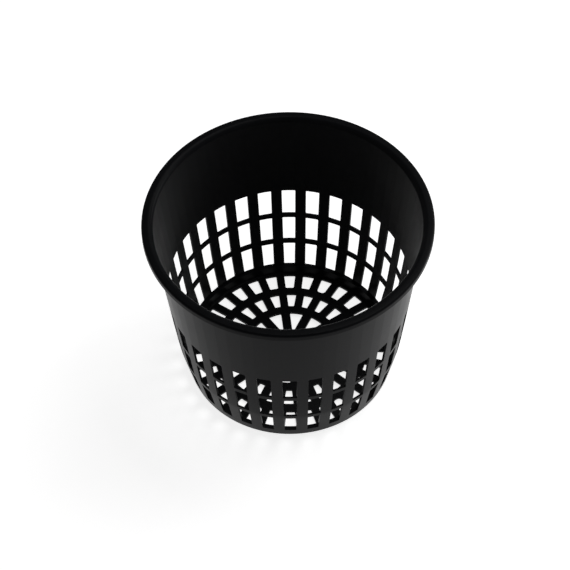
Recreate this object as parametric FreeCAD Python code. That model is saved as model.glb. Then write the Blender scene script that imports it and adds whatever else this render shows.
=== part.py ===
import FreeCAD, Part
import math
import os

# Hydroponic net pot: one injection moulding in black polypropylene.
# A tapered round wall hangs from a downturned lip. Its lower half is a grille of
# upright ribs and level hoops, and its floor is a grille of rings and spokes.
# Millimetres, +Z up. The origin is the centre of the face that the pot stands on.

# ---- wall, measured on its outside ----
pot_height = 96.0
foot_radius = 47.7          # where the wall meets the ground
knee_radius = 51.5          # middle of the lowest hoop, where the taper eases
neck_radius = 59.5          # just under the lip
wall_thickness = 1.0
foot_rounding = 0.8

# ---- lip ----
lip_overhang = 4.0          # from the neck out to the edge of the lip
lip_plate = 1.4             # thickness of the flat part of the lip
lip_edge_height = 2.9       # full height of the downturned edge
lip_edge_width = 1.3
lip_rounding = 1.0
mouth_rounding = 2.2        # where the inside of the wall rolls out over the lip

# ---- foot ring: the solid band below the lowest windows ----
foot_ring_height = 5.1
foot_ring_thickness = 2.2
floor_corner_rounding = 0.8

# ---- windows of the wall ----
columns = 30
rib_width = 5.0
hoop_height = 2.3
window_heights = (13.1, 14.4, 15.0)     # from the foot ring upwards

# ---- floor ----
floor_thickness = 1.2
floor_crown = 1.7           # how far the middle of the floor stands off the ground
floor_edge_band = 1.3       # solid band between the foot ring and the outer windows
floor_ring_width = 3.9
outer_window_length = 8.3
middle_window_length = 7.7
hub_radius = 10.0
middle_windows = 24
inner_windows = 12
spoke_width = 3.8
inner_spoke_width = 4.2
round_ended_windows = 6     # outer windows that face the end of an inner spoke
round_end_share = 0.86      # rounding of such an end, as a share of half its width

# ---- how round corners are drawn ----
rounding_flats = 2          # flats per rounding, which keep the mesh light

# ---- sizes worked out from the ones above ----
lip_radius = neck_radius + lip_overhang
lip_under = pot_height - lip_plate
lip_bottom = pot_height - lip_edge_height
knee_height = foot_ring_height + window_heights[0] + hoop_height / 2
lower_taper = (knee_radius - foot_radius) / knee_height
ledge_radius = foot_radius + lower_taper * foot_ring_height
grille_radius = foot_radius - foot_ring_thickness - floor_edge_band
outer_ring_radius = grille_radius - outer_window_length
middle_grille_radius = outer_ring_radius - floor_ring_width
inner_ring_radius = middle_grille_radius - middle_window_length
inner_grille_radius = inner_ring_radius - floor_ring_width

UP = FreeCAD.Vector(0, 0, 1)
ORIGIN = FreeCAD.Vector(0, 0, 0)


def on_section(radius, height):
    """A point of the half section, which lies in the XZ plane."""
    return FreeCAD.Vector(radius, 0, height)


def rounded_corner(before, corner, after, rounding):
    """Points along the arc that rounds a corner, from one straight run to the next."""
    back = (before - corner).normalize()
    ahead = (after - corner).normalize()
    half_angle = back.getAngle(ahead) / 2
    centre = corner + (back + ahead).normalize() * (rounding / math.sin(half_angle))
    first = corner + back * (rounding / math.tan(half_angle)) - centre
    last = corner + ahead * (rounding / math.tan(half_angle)) - centre
    sweep = math.pi - 2 * half_angle
    points = []
    for step in range(rounding_flats + 1):
        turned = sweep * step / rounding_flats
        arm = first * (math.sin(sweep - turned) / math.sin(sweep))
        arm += last * (math.sin(turned) / math.sin(sweep))
        points.append(centre + arm)
    return points


def section_points(corners):
    """Points of the half section, from (radius, height, rounding) corners."""
    places = [on_section(radius, height) for radius, height, rounding in corners]
    points = []
    for index, corner in enumerate(places):
        rounding = corners[index][2]
        if rounding > 0:
            after = places[(index + 1) % len(places)]
            points += rounded_corner(places[index - 1], corner, after, rounding)
        else:
            points.append(corner)
    return points


def floor_line(height):
    """One side of the floor, which climbs to its middle on its two solid rings."""
    quarter = floor_ring_width / 4
    return [
        (0, height + floor_crown, 0),
        (inner_grille_radius + quarter, height + floor_crown, 0),
        (inner_ring_radius - quarter, height + floor_crown / 2, 0),
        (middle_grille_radius + quarter, height + floor_crown / 2, 0),
        (outer_ring_radius - quarter, height, 0),
    ]


def make_shell():
    """The pot without its windows: one half section turned about the axis."""
    mouth_radius = neck_radius - wall_thickness
    lip_inside = lip_radius - lip_edge_width
    corners = floor_line(0) + [
        (foot_radius, 0, foot_rounding),
        (knee_radius, knee_height, 0),
        (neck_radius, lip_under, 0),
        (lip_inside, lip_under, 0),
        (lip_inside, lip_bottom, 0),
        (lip_radius, lip_bottom, 0),
        (lip_radius, pot_height, lip_rounding),
        (mouth_radius, pot_height, mouth_rounding),
        (knee_radius - wall_thickness, knee_height, 0),
        (ledge_radius - wall_thickness, foot_ring_height, 0),
        (ledge_radius - foot_ring_thickness, foot_ring_height, 0),
        (foot_radius + lower_taper * floor_thickness - foot_ring_thickness, floor_thickness,
         floor_corner_rounding),
    ] + floor_line(floor_thickness)[::-1]
    points = section_points(corners)
    section = Part.Face(Part.makePolygon(points + points[:1]))
    return section.revolve(ORIGIN, UP, 360)


def opening(near, far, near_half, far_half, bottom, height):
    """An upright prism about +X, between two distances from the axis of the pot."""
    corners = [(near, -near_half), (far, -far_half), (far, far_half), (near, near_half)]
    points = [FreeCAD.Vector(x, y, bottom) for x, y in corners + corners[:1]]
    return Part.Face(Part.makePolygon(points)).extrude(UP * height)


def around(shape, count, offset):
    """Copies of a shape about the axis; an offset of 0.5 puts a bar on +X."""
    copies = []
    for index in range(count):
        copy = shape.copy()
        copy.rotate(ORIGIN, UP, (index + offset) * 360 / count)
        copies.append(copy)
    return copies


def wall_radius(height):
    """Outside radius of the wall at a height above its knee, or below it."""
    if height < knee_height:
        return foot_radius + lower_taper * height
    upper_taper = (neck_radius - knee_radius) / (lip_under - knee_height)
    return knee_radius + upper_taper * (height - knee_height)


def make_wall_windows():
    """Rows of windows between ribs of one width, with a hoop between each two rows."""
    windows = []
    sill = foot_ring_height
    for height in window_heights:
        middle_radius = wall_radius(sill + height / 2)
        half_angle = math.pi / columns - math.asin(rib_width / 2 / middle_radius)
        slope = math.tan(half_angle)
        window = opening(grille_radius, lip_radius, grille_radius * slope, lip_radius * slope,
                         sill, height)
        windows += around(window, columns, 0)
        sill += height + hoop_height
    return windows


def gap_half_width(distance, count, bar_width):
    """Half the gap between two spokes of a ring, at a distance from the axis."""
    half_pitch = math.pi / count
    return distance * math.tan(half_pitch) - bar_width / 2 / math.cos(half_pitch)


def floor_window(near, far, count, bar_width):
    """The gap between two parallel-sided spokes, from one ring of the floor to the next."""
    near_half = gap_half_width(near, count, bar_width)
    far_half = gap_half_width(far, count, bar_width)
    height = floor_crown + 3 * floor_thickness
    return opening(near, far, near_half, far_half, -floor_thickness, height)


def round_inner_end(window, near):
    """Round the two upright edges at the end of an outer window nearest the axis."""
    rounding = round_end_share * gap_half_width(near, columns, spoke_width)
    upright = []
    for edge in window.Edges:
        first = edge.Vertexes[0].Point
        last = edge.Vertexes[-1].Point
        if first.z != last.z and abs(first.x - near) < rounding:
            upright.append(edge)
    return window.makeFillet(rounding, upright)


def make_floor_windows():
    """Three rings of windows, worked inwards from the floor's solid edge."""
    square = floor_window(outer_ring_radius, grille_radius, columns, spoke_width)
    round_ended = round_inner_end(square, outer_ring_radius)
    outer = around(square, columns, 0)
    for index in range(round_ended_windows):
        place = index * columns // round_ended_windows
        outer[place] = around(round_ended, columns, 0)[place]
    middle = floor_window(inner_ring_radius, middle_grille_radius, middle_windows, spoke_width)
    inner = floor_window(hub_radius, inner_grille_radius, inner_windows, inner_spoke_width)
    return outer + around(middle, middle_windows, 0.5) + around(inner, inner_windows, 0.5)


def make_net_pot():
    windows = make_wall_windows() + make_floor_windows()
    return make_shell().cut(Part.makeCompound(windows))


net_pot = make_net_pot()
os.makedirs("parts", exist_ok=True)
for solid in net_pot.Solids:
    print("net_pot", solid.isValid(), round(solid.Volume), "mm3")
net_pot.Solids[0].exportStep("parts/net_pot.step")
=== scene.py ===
# %% [markdown]
# # A net pot for growing plants in water
# A net pot is one thin injection moulding in black polypropylene. It hangs by its lip in a
# hole, and the roots grow out through the windows of its wall and floor.
# Everything here is in metres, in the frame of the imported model, which stands on z = 0.

# %% Load the frame
import math
import bmesh
import bpy
from mathutils import Matrix, Vector


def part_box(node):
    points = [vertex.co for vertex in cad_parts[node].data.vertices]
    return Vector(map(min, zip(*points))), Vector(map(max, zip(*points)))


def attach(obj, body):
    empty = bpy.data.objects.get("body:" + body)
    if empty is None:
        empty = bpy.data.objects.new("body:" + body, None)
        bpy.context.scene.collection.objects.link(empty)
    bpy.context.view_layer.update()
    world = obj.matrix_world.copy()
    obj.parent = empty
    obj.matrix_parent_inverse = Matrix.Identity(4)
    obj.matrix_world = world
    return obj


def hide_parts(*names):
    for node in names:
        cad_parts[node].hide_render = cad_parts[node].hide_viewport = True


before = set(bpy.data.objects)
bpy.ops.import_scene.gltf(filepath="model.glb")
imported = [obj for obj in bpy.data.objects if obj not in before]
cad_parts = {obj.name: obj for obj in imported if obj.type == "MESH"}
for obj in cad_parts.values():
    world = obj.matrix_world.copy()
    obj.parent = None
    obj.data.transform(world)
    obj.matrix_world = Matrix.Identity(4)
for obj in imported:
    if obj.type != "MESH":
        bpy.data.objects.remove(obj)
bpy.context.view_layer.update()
pot_low, pot_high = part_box("net_pot")
pot_height = pot_high[2] - pot_low[2]
lip_radius = (pot_high[1] - pot_low[1]) / 2
print("pot height", round(pot_height, 4), "lip radius", round(lip_radius, 4))

# %% [markdown]
# ## Hands for edit mode
# Every step below picks vertices, edges or faces by their place and then runs one of
# Blender's own operators on them. Three small helpers keep those steps short: one opens a
# mesh for editing, one closes it, and one selects what passes a test.

# %% Helpers for editing
MM = 0.001
ORIGIN = (0.0, 0.0, 0.0)


def open_mesh(piece, kind):
    """Go into edit mode on one piece, picking VERT, EDGE or FACE."""
    bpy.ops.object.select_all(action="DESELECT")
    piece.select_set(True)
    bpy.context.view_layer.objects.active = piece
    bpy.ops.object.mode_set(mode="EDIT")
    bpy.ops.mesh.select_mode(type=kind)
    bpy.ops.mesh.select_all(action="DESELECT")


def close_mesh():
    """Go back to object mode."""
    bpy.ops.object.mode_set(mode="OBJECT")


def pick(piece, kind, test):
    """Select only the elements whose middle passes a test, and return how many there are."""
    bpy.ops.mesh.select_mode(type=kind)
    bpy.ops.mesh.select_all(action="DESELECT")
    edited = bmesh.from_edit_mesh(piece.data)
    chosen = 0
    if kind == "VERT":
        for vert in edited.verts:
            if test(vert.co):
                vert.select_set(True)
                chosen += 1
    elif kind == "EDGE":
        for edge in edited.edges:
            if test(edge.verts[0].co, edge.verts[1].co):
                edge.select_set(True)
                chosen += 1
    else:
        for face in edited.faces:
            if test(face.calc_center_median()):
                face.select_set(True)
                chosen += 1
    edited.select_flush_mode()
    bmesh.update_edit_mesh(piece.data, loop_triangles=False, destructive=False)
    return chosen


def reach(point):
    """Distance from the axis of the pot."""
    return math.hypot(point[0], point[1])


# %% [markdown]
# ## The sizes of the moulding
# The overall height and the lip come from the frame. The rest are the pot's own sizes: a thin
# wall whose taper eases part-way up, three rows of windows, and three rings of floor windows.

# %% Sizes of the wall
wall = 1.0 * MM
foot_radius = 47.6 * MM
bow_height = 20.0 * MM
bow_radius = 51.75 * MM
neck_radius = 59.5 * MM
bow_reach = 4.0 * MM
lip_under = pot_height - 1.4 * MM
lip_bottom = pot_height - 2.9 * MM
lip_edge = 1.3 * MM
neck_ease = 0.05 * MM
ring_thickness = 2.2 * MM

lower_slope = (bow_radius - foot_radius) / bow_height
upper_slope = (neck_radius - bow_radius) / (lip_under - bow_height)


def wall_radius(height):
    """Outside of the wall: two tapers that run smoothly into each other."""
    above = height - bow_height
    mean_slope = (lower_slope + upper_slope) / 2
    half_change = (upper_slope - lower_slope) / 2
    return bow_radius + mean_slope * above + half_change * math.hypot(above, bow_reach)


print("wall radius at the foot, the bow and the neck, mm:",
      [round(wall_radius(h) / MM, 2) for h in (0, bow_height, lip_under)])

# %% Sizes of the windows
columns = 30
rib_width = 5.0 * MM
sill = 5.1 * MM
hoop = 2.3 * MM
rows = []
bottom = sill
for tall in (13.1 * MM, 14.4 * MM, 15.0 * MM):
    rows.append((bottom, bottom + tall))
    bottom += tall + hoop
print("window rows, mm:", [(round(low / MM, 1), round(high / MM, 1)) for low, high in rows])

# %% Sizes of the floor
floor_thickness = 1.2 * MM
crown = 1.7 * MM
ring_edges = [44.2 * MM, 35.9 * MM, 32.0 * MM, 24.3 * MM, 20.4 * MM, 10.0 * MM]
grille_radius = ring_edges[0]
spoke_counts = (30, 24, 12)
spoke_widths = (3.8 * MM, 3.8 * MM, 4.2 * MM)


def floor_height(radius):
    """Underside of the floor, which is domed a little so that the pot stands on its rim."""
    return crown * (1 - (radius / grille_radius) ** 2)


print("floor rises", round(floor_height(0) / MM, 2), "mm to its middle")

# %% [markdown]
# ## One section, turned about the axis
# The pot is round, so it starts as half of its section. The section could be drawn as a curve,
# but a chain of vertices is easier to keep exact: each corner is one extruded vertex. The
# chain runs from the middle of the underside out to the foot, up the outside, over the lip,
# down the inside and back along the floor. It has a vertex at the sill and the head of every
# window, so that the windows can be cut along clean rows.

# %% List the corners of the section
window_heights = sorted(height for row in rows for height in row)
plain_height = lip_under - window_heights[-1]
upper_heights = [window_heights[-1] + part * plain_height for part in (0.25, 0.5, 0.75)]
middle_heights = [(low + high) / 2 for low, high in rows]
wall_heights = sorted(window_heights + middle_heights + upper_heights)

dome_radii = [5.0 * MM, 15.0 * MM, 28.0 * MM, 40.0 * MM]
floor_radii = sorted(ring_edges + dome_radii)
underside = [(radius, floor_height(radius)) for radius in [0.0] + floor_radii]
outside = [(wall_radius(height), height) for height in wall_heights]
lip = [
    (neck_radius - neck_ease, lip_under),
    (lip_radius - lip_edge, lip_under),
    (lip_radius - lip_edge, lip_bottom),
    (lip_radius, lip_bottom),
    (lip_radius, pot_height),
    (wall_radius(pot_height) - wall, pot_height),
]
inside = [(wall_radius(height) - wall, height) for height in wall_heights[::-1]]
ledge = [
    (wall_radius(sill) - ring_thickness, sill),
    (wall_radius(floor_thickness) - ring_thickness, floor_thickness),
]
topside = [(radius, height + floor_thickness) for radius, height in underside[::-1]]
section = underside + [(foot_radius, 0.0)] + outside + lip + inside + ledge + topside
print("the section has", len(section), "corners")

# %% Draw the section
bpy.ops.object.select_all(action="DESELECT")
bpy.ops.mesh.primitive_plane_add(size=MM, location=ORIGIN)
pot = bpy.context.object
pot.name = "moulded_pot"
open_mesh(pot, "VERT")
bpy.ops.mesh.select_all(action="SELECT")
bpy.ops.mesh.merge(type="CENTER")
place = Vector((0.0, 0.0, 0.0))
for radius, height in section:
    corner = Vector((radius, 0.0, height))
    bpy.ops.mesh.extrude_vertices_move(TRANSFORM_OT_translate={"value": corner - place})
    place = corner
pick(pot, "VERT", lambda co: co.length < 1e-7)
bpy.ops.mesh.delete(type="VERT")
close_mesh()
print("section drawn with", len(pot.data.vertices), "vertices")

# %% [markdown]
# Two corners of the lip are round: its outer edge, and the mouth, where the inside of the
# wall rolls out over the top. Bevelling those vertices while the section is still a line
# gives true arcs, before there are any faces to spoil. The foot and the inner corner of the
# floor get smaller ones.

# %% Round the corners of the section
def round_section(radius, height, rounding, segments):
    """Bevel the one vertex of the section nearest a place."""
    open_mesh(pot, "VERT")
    found = pick(pot, "VERT", lambda co: abs(co.x - radius) + abs(co.z - height) < 0.02 * MM)
    bpy.ops.mesh.bevel(offset_type="OFFSET", offset=rounding, segments=segments,
                       profile=0.5, affect="VERTICES")
    close_mesh()
    print("rounded", found, "corner by", round(rounding / MM, 2), "mm")


lip_rounding = 1.0 * MM
mouth_rounding = 2.2 * MM
foot_rounding = 0.8 * MM
round_section(lip_radius, pot_height, lip_rounding, 5)
round_section(wall_radius(pot_height) - wall, pot_height, mouth_rounding, 7)
round_section(foot_radius, 0.0, foot_rounding, 4)
round_section(*ledge[1], foot_rounding, 4)

# %% [markdown]
# ## Turning the section
# Spin turns the chain through a full circle. A hundred and twenty steps put a line of
# vertices down the middle of every window and every rib. The two ends of the chain meet the axis, where their
# copies are merged into one point, and the normals are made to face out again afterwards.

# %% Spin the section
open_mesh(pot, "VERT")
bpy.ops.mesh.select_all(action="SELECT")
bpy.ops.mesh.spin(steps=4 * columns, angle=2 * math.pi, center=ORIGIN, axis=(0.0, 0.0, 1.0))
bpy.ops.mesh.select_all(action="SELECT")
bpy.ops.mesh.remove_doubles(threshold=0.002 * MM)
bpy.ops.mesh.normals_make_consistent(inside=False)
close_mesh()
print("turned:", len(pot.data.vertices), "vertices", len(pot.data.polygons), "faces")

# %% [markdown]
# ## The edges of the ribs
# The ribs are parallel-sided strips 5 mm wide, so their edges aren't on the lines that Spin
# made. Bisect cuts them exactly: a plane that stands 2.5 mm to one side of the axis cuts one
# edge of a rib and one edge of the rib opposite. Fifteen directions, with a plane on each
# side, cut all thirty ribs. Only faces above the sill are picked, so the floor stays whole, and
# the lip gets the same lines.

# %% Cut strips with upright planes
def strip_angles(count, first):
    """Directions of a ring of strips, from the first one round."""
    return [first + 2 * math.pi * index / count for index in range(count)]


def cut_strips(piece, test, angles, width):
    """Cut both edges of the parallel-sided strips that point in these directions."""
    for angle in angles[:len(angles) // 2]:
        across = Vector((-math.sin(angle), math.cos(angle), 0.0))
        for side in (-1, 1):
            pick(piece, "FACE", test)
            bpy.ops.mesh.bisect(plane_co=across * (side * width / 2), plane_no=across)


rib_angles = strip_angles(columns, math.pi / columns)
open_mesh(pot, "FACE")
cut_strips(pot, lambda middle: middle.z > sill + 0.1 * MM, rib_angles, rib_width)
close_mesh()
print("with rib edges:", len(pot.data.polygons), "faces")

# %% [markdown]
# The floor is cut the same way, ring by ring. Its outer ring has thirty spokes that stand in
# line with the ribs, the middle one has twenty-four and the inner one twelve. Every fifth,
# fourth and second spoke line up, so the pattern repeats six times.

# %% Cut the spokes of the floor
spoke_rings = []
for ring, count in enumerate(spoke_counts):
    first = math.pi / columns if ring == 0 else 0.0
    outer, inner = ring_edges[2 * ring], ring_edges[2 * ring + 1]
    spoke_rings.append((inner, outer, strip_angles(count, first), spoke_widths[ring]))


def on_floor_ring(inner, outer):
    """A test for floor faces between two radii, on both skins of the floor."""
    return lambda middle: middle.z < sill - 1.0 * MM and inner < reach(middle) < outer


open_mesh(pot, "FACE")
for inner, outer, angles, width in spoke_rings:
    cut_strips(pot, on_floor_ring(inner, outer), angles, width)
close_mesh()
print("with spoke edges:", len(pot.data.polygons), "faces")

# %% [markdown]
# ## Opening the windows
# A face belongs to a window if it lies clear of every strip. Those faces go from the outer
# and the inner skin, and each window is left with two matching borders, which Bridge joins
# into the four thin sides of the opening.

# %% Delete the faces in the windows
def clear_of_strips(point, angles, width):
    """True for a point that lies outside every strip of a ring."""
    direction = math.atan2(point.y, point.x)
    nearest = min(abs(math.remainder(direction - angle, 2 * math.pi)) for angle in angles)
    return reach(point) * math.sin(nearest) > width / 2


def in_wall_window(middle):
    """True for a face of either skin inside a window of the wall."""
    in_row = any(low < middle.z < high for low, high in rows)
    on_skin = reach(middle) > wall_radius(middle.z) - 1.5 * wall
    return in_row and on_skin and clear_of_strips(middle, rib_angles, rib_width)


def in_floor_window(middle):
    """True for a face of either skin inside a window of the floor."""
    for inner, outer, angles, width in spoke_rings:
        if on_floor_ring(inner, outer)(middle):
            return clear_of_strips(middle, angles, width)
    return False


open_mesh(pot, "FACE")
for test in (in_wall_window, in_floor_window):
    opened = pick(pot, "FACE", test)
    bpy.ops.mesh.delete(type="FACE")
    print("faces removed:", opened)
close_mesh()

# %% Bridge the borders of each window
def bridge_window(piece, on_border, direction, half_angle):
    """Join the outer and inner borders of the one window in this direction."""
    def beside(point):
        turn = math.remainder(math.atan2(point.y, point.x) - direction, 2 * math.pi)
        return abs(turn) < half_angle and on_border(point)

    pick(piece, "EDGE", lambda start, end: beside(start) and beside(end))
    bpy.ops.mesh.bridge_edge_loops()


near = 0.1 * MM
open_mesh(pot, "EDGE")
for low, high in rows:
    def on_row_border(point):
        """True for a point on the border of a window of this row."""
        return (low - near < point.z < high + near
                and reach(point) > wall_radius(point.z) - 1.5 * wall
                and clear_of_strips(point, rib_angles, rib_width - 2 * near))

    for angle in strip_angles(columns, 0.0):
        bridge_window(pot, on_row_border, angle, math.pi / columns)
for inner, outer, angles, width in spoke_rings:
    def on_ring_border(point):
        """True for a point on the border of a floor window of this ring."""
        return (inner - near < reach(point) < outer + near and point.z < sill - 1.0 * MM
                and clear_of_strips(point, angles, width - 2 * near))

    half_angle = math.pi / len(angles)
    for angle in angles:
        bridge_window(pot, on_ring_border, angle + half_angle, half_angle)
bpy.ops.mesh.select_all(action="SELECT")
bpy.ops.mesh.normals_make_consistent(inside=False)
bpy.ops.mesh.select_all(action="DESELECT")
bpy.ops.mesh.select_non_manifold()
close_mesh()
open_edges = sum(edge.select for edge in pot.data.edges)
print("windows bridged:", len(pot.data.polygons), "faces,", open_edges, "open edges")

# %% [markdown]
# ## Rounding the corners of the windows
# A cutter leaves a small radius in each corner of a window. Those corners are the short edges
# between the two skins, and Bevel rounds all of them together. In the outer ring of the floor,
# every fifth window ends in nearly a half round towards the hub, so its two inner corners get more.

# %% Round the window corners
def beside_strip(point, angles, width):
    """True for a point on the edge of a strip of a ring."""
    inside = clear_of_strips(point, angles, width - 2 * near)
    return inside and not clear_of_strips(point, angles, width + 2 * near)


def on_any(value, levels):
    """True for a value that is on one of these levels."""
    return any(abs(value - level) < near for level in levels)


def is_wall_corner(start, end):
    """True for a corner edge of a wall window, which runs through the wall."""
    through = abs(reach(start) - reach(end)) > 0.5 * wall and abs(start.z - end.z) < near
    return (through and on_any(start.z, window_heights)
            and reach(end) > wall_radius(end.z) - 1.5 * wall
            and beside_strip(start, rib_angles, rib_width)
            and beside_strip(end, rib_angles, rib_width))


def is_floor_corner(start, end):
    """True for a corner edge of a floor window, which runs through the floor."""
    through = abs(start.z - end.z) > 0.5 * floor_thickness and abs(reach(start) - reach(end)) < near
    for inner, outer, angles, width in spoke_rings:
        if through and on_any(reach(start), (inner, outer)) and start.z < sill - 1.0 * MM:
            if beside_strip(start, angles, width):
                return True
    return False


def is_round_end(start, end):
    """True for the two inner corners of the six windows that end in a half round."""
    if not is_floor_corner(start, end) or not on_any(reach(start), (spoke_rings[0][0],)):
        return False
    turn = math.remainder(math.atan2(start.y, start.x), math.radians(60))
    return abs(turn) < math.pi / columns


def round_corners(test, rounding, segments):
    """Bevel the picked corner edges and say how many there were."""
    open_mesh(pot, "EDGE")
    found = pick(pot, "EDGE", test)
    bpy.ops.mesh.bevel(offset_type="OFFSET", offset=rounding, segments=segments, affect="EDGES")
    close_mesh()
    print("rounded", found, "corners by", round(rounding / MM, 2), "mm")


end_rounding = 1.5 * MM
corner_rounding = 0.4 * MM
round_corners(is_round_end, end_rounding, 6)
round_corners(is_floor_corner, corner_rounding, 3)
round_corners(is_wall_corner, corner_rounding, 3)

# %% [markdown]
# ## Softening the edges
# A mould has no perfectly sharp edges, and it is the thin light on them that shows a black
# part's shape. A Bevel modifier rounds every edge that turns by more than thirty degrees, and
# is applied so that the mesh is final. Weighted normals keep the flats between the edges flat.

# %% Bevel and smooth
bpy.ops.object.select_all(action="DESELECT")
pot.select_set(True)
bpy.context.view_layer.objects.active = pot
edge_rounding = 0.18 * MM
soft = pot.modifiers.new("soft_edges", "BEVEL")
soft.limit_method = "ANGLE"
soft.angle_limit = math.radians(30)
soft.width = edge_rounding
soft.segments = 2
soft.miter_outer = "MITER_ARC"
bpy.ops.object.modifier_apply(modifier=soft.name)
bpy.ops.object.shade_smooth_by_angle(angle=math.radians(40))
even = pot.modifiers.new("even_light", "WEIGHTED_NORMAL")
even.keep_sharp = True
bpy.ops.object.modifier_apply(modifier=even.name)
pot.data.calc_loop_triangles()
print("finished pot:", len(pot.data.loop_triangles), "triangles")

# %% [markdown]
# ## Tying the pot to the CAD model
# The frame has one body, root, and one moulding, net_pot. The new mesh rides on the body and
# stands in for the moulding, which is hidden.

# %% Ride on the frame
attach(pot, "root")
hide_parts("net_pot")
print("riding on root:", pot.name)

# %% [markdown]
# ## Sums of sockets
# A material is a tree of small nodes. Drawn by hand, even a short formula takes several Math
# nodes, so a small class wraps an output socket and adds those nodes when it is added or
# multiplied. Every other kind of node comes from one function.

# %% Helpers for materials
class Sum:
    """An output socket that can be used in formulas like a number."""

    def __init__(self, tree, socket):
        self.tree = tree
        self.socket = socket

    def formula(self, operation, first, second):
        """Add one Math node."""
        made = add_node(self.tree, "ShaderNodeMath", {"operation": operation})
        connect(self.tree, made.inputs[0], first)
        connect(self.tree, made.inputs[1], second)
        return Sum(self.tree, made.outputs[0])

    def __add__(self, other):
        return self.formula("ADD", self, other)

    def __radd__(self, other):
        return self.formula("ADD", other, self)

    def __mul__(self, other):
        return self.formula("MULTIPLY", self, other)

    def __rmul__(self, other):
        return self.formula("MULTIPLY", other, self)


def connect(tree, target, value):
    """Link a socket to another one, or write a plain value into it."""
    if isinstance(value, Sum):
        tree.links.new(value.socket, target)
    elif isinstance(value, bpy.types.NodeSocket):
        tree.links.new(value, target)
    else:
        target.default_value = value


def add_node(tree, kind, settings=None, **inputs):
    """Add a node of any kind; spaces in socket names are written as underscores."""
    made = tree.nodes.new(kind)
    for name, value in (settings or {}).items():
        setattr(made, name, value)
    for name, value in inputs.items():
        connect(tree, made.inputs[name.replace("_", " ")], value)
    return made


def new_material(name):
    """Make an empty material and return it with its node tree."""
    material = bpy.data.materials.new(name)
    material.use_nodes = True
    material.node_tree.nodes.clear()
    return material, material.node_tree


# %% [markdown]
# ## Black polypropylene
# The plastic is coloured all through, so there is no paint to wear. Its colour is one near-black
# that drifts slightly, its gloss changes with the same slow cloud and with a fine grain, and the
# grain is also a very low bump. The patterns read Object coordinates, which stay with the pot.
# A real plastic has a specular level near 0.5. Here it is 0.04, because the white paper shows in
# every reflection and turned the wall grey, so in other light the pot looks duller than it should.

# %% Mix the black plastic
def mix_colours(tree, factor, first, second):
    """Mix two plain colours; a Mix node's colour sockets are found by their own identifiers."""
    mixed = add_node(tree, "ShaderNodeMix", {"data_type": "RGBA"}, Factor=factor)
    sockets = {socket.identifier: socket for socket in mixed.inputs}
    sockets["A_Color"].default_value = (*first, 1.0)
    sockets["B_Color"].default_value = (*second, 1.0)
    return {socket.identifier: socket for socket in mixed.outputs}["Result_Color"]


def noise(tree, place, scale, detail):
    """A noise pattern that can be used in formulas; its scale is in waves per metre."""
    made = add_node(tree, "ShaderNodeTexNoise", Vector=place, Scale=scale, Detail=detail)
    return Sum(tree, made.outputs["Fac"])


deep_black = (0.0045, 0.0048, 0.0055)
soft_black = (0.008, 0.0083, 0.0095)
grain_depth = 0.05 * MM

plastic, tree = new_material("moulded_black_polypropylene")
place = add_node(tree, "ShaderNodeTexCoord").outputs["Object"]
cloud = noise(tree, place, 90.0, 3.0)
grain = noise(tree, place, 2600.0, 2.0)
tint = mix_colours(tree, cloud, deep_black, soft_black)
bump = add_node(tree, "ShaderNodeBump", Height=grain, Strength=0.10, Distance=grain_depth)
gloss_loss = 0.24 + 0.08 * cloud + 0.06 * grain
skin = add_node(tree, "ShaderNodeBsdfPrincipled", Base_Color=tint, Roughness=gloss_loss,
                Normal=bump.outputs["Normal"], IOR=1.49, Specular_IOR_Level=0.04)
add_node(tree, "ShaderNodeOutputMaterial", Surface=skin.outputs["BSDF"])
pot.data.materials.clear()
pot.data.materials.append(plastic)
print("plastic:", len(tree.nodes), "nodes")

# %% [markdown]
# ## The floor
# The pot stands on white paper. A camera shows paper as white only if much light falls on it,
# and that light would turn the black plastic grey. So the paper glows a little, for the rays
# of the camera and of reflections only, and keeps the soft shadow of the pot.

# %% Lay the floor
glow = 0.8
bpy.ops.mesh.primitive_plane_add(size=6.0, location=ORIGIN)
floor = bpy.context.object
floor.name = "studio_floor"
paper, tree = new_material("white_paper")
rays = add_node(tree, "ShaderNodeLightPath")
seen = Sum(tree, rays.outputs["Is Camera Ray"]) + rays.outputs["Is Glossy Ray"]
seen = (seen + rays.outputs["Is Transmission Ray"]) * glow
shown = add_node(tree, "ShaderNodeCombineColor", Red=seen, Green=seen, Blue=seen)
pulp = add_node(tree, "ShaderNodeBsdfPrincipled", Base_Color=(0.8, 0.8, 0.8, 1.0), Roughness=0.9,
                Emission_Color=shown.outputs["Color"], Emission_Strength=1.0)
add_node(tree, "ShaderNodeOutputMaterial", Surface=pulp.outputs["BSDF"])
floor.data.materials.append(paper)
print("floor laid:", floor.name)

# %% [markdown]
# ## The light
# A room that is pale near the floor and dark overhead leaves the inside of the pot deep black
# and puts light on its edges. Two large square lamps, one above and one at the right, give the
# soft shadow and the sheen. They are dim: the paper gets about a third to a half of the light
# at which a colour renders as it is written.

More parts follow.
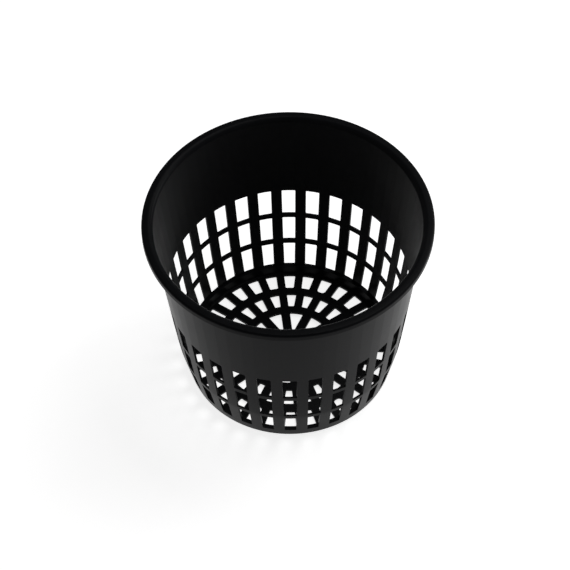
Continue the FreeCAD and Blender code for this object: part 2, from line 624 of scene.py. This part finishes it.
# %% Light the pot
world = bpy.data.worlds.new("soft_room")
bpy.context.scene.world = world
world.use_nodes = True
tree = world.node_tree
tree.nodes.clear()
sky = add_node(tree, "ShaderNodeTexCoord").outputs["Generated"]
height = Sum(tree, add_node(tree, "ShaderNodeSeparateXYZ", Vector=sky).outputs["Z"])
light_at_floor, light_overhead = 0.42, 0.04
shade = add_node(tree, "ShaderNodeMapRange", From_Min=0.0, From_Max=0.75,
                 To_Min=light_at_floor, To_Max=light_overhead)
connect(tree, shade.inputs["Value"], height)
room = add_node(tree, "ShaderNodeBackground", Color=(1.0, 1.0, 1.0, 1.0),
                Strength=shade.outputs["Result"])
add_node(tree, "ShaderNodeOutputWorld", Surface=room.outputs["Background"])


def add_softbox(name, position, size, power):
    """Add a square area lamp that faces the pot."""
    bpy.ops.object.light_add(type="AREA", location=position)
    lamp = bpy.context.object
    lamp.name = name
    lamp.data.size = size
    lamp.data.energy = power
    towards = Vector((0.0, 0.0, 0.05)) - lamp.location
    lamp.rotation_euler = towards.to_track_quat("-Z", "Y").to_euler()


add_softbox("key_softbox", (0.35, 0.25, 0.8), 0.6, 2.6)
add_softbox("side_softbox", (0.9, 0.25, 0.3), 0.5, 2.5)
print("lamps:", len(bpy.data.lights))

# %% [markdown]
# ## The camera
# The camera looks down steeply, so that the floor shows through the mouth. It is turned in
# three steps: up from straight down, round to its heading, and a small roll about its own view.

# %% Place the camera
camera_place = (-0.05278, -0.54917, 0.7534)
looks_down = math.radians(51.904)
heading = math.radians(5.3)
roll = math.radians(-1.153)
lift = Matrix.Rotation(math.pi / 2 - looks_down, 3, "X")
turn = Matrix.Rotation(-heading, 3, "Z")
view = turn @ lift @ Matrix.Rotation(roll, 3, "Z")
bpy.ops.object.camera_add(location=camera_place, rotation=view.to_euler())
camera = bpy.context.object
camera.data.sensor_width = 36.0
camera.data.lens = 125.41
bpy.context.scene.camera = camera
bpy.context.scene.view_settings.view_transform = "Standard"
print("camera looks down by", round(math.degrees(looks_down), 1), "degrees")

# %% Finish
bpy.context.view_layer.update()
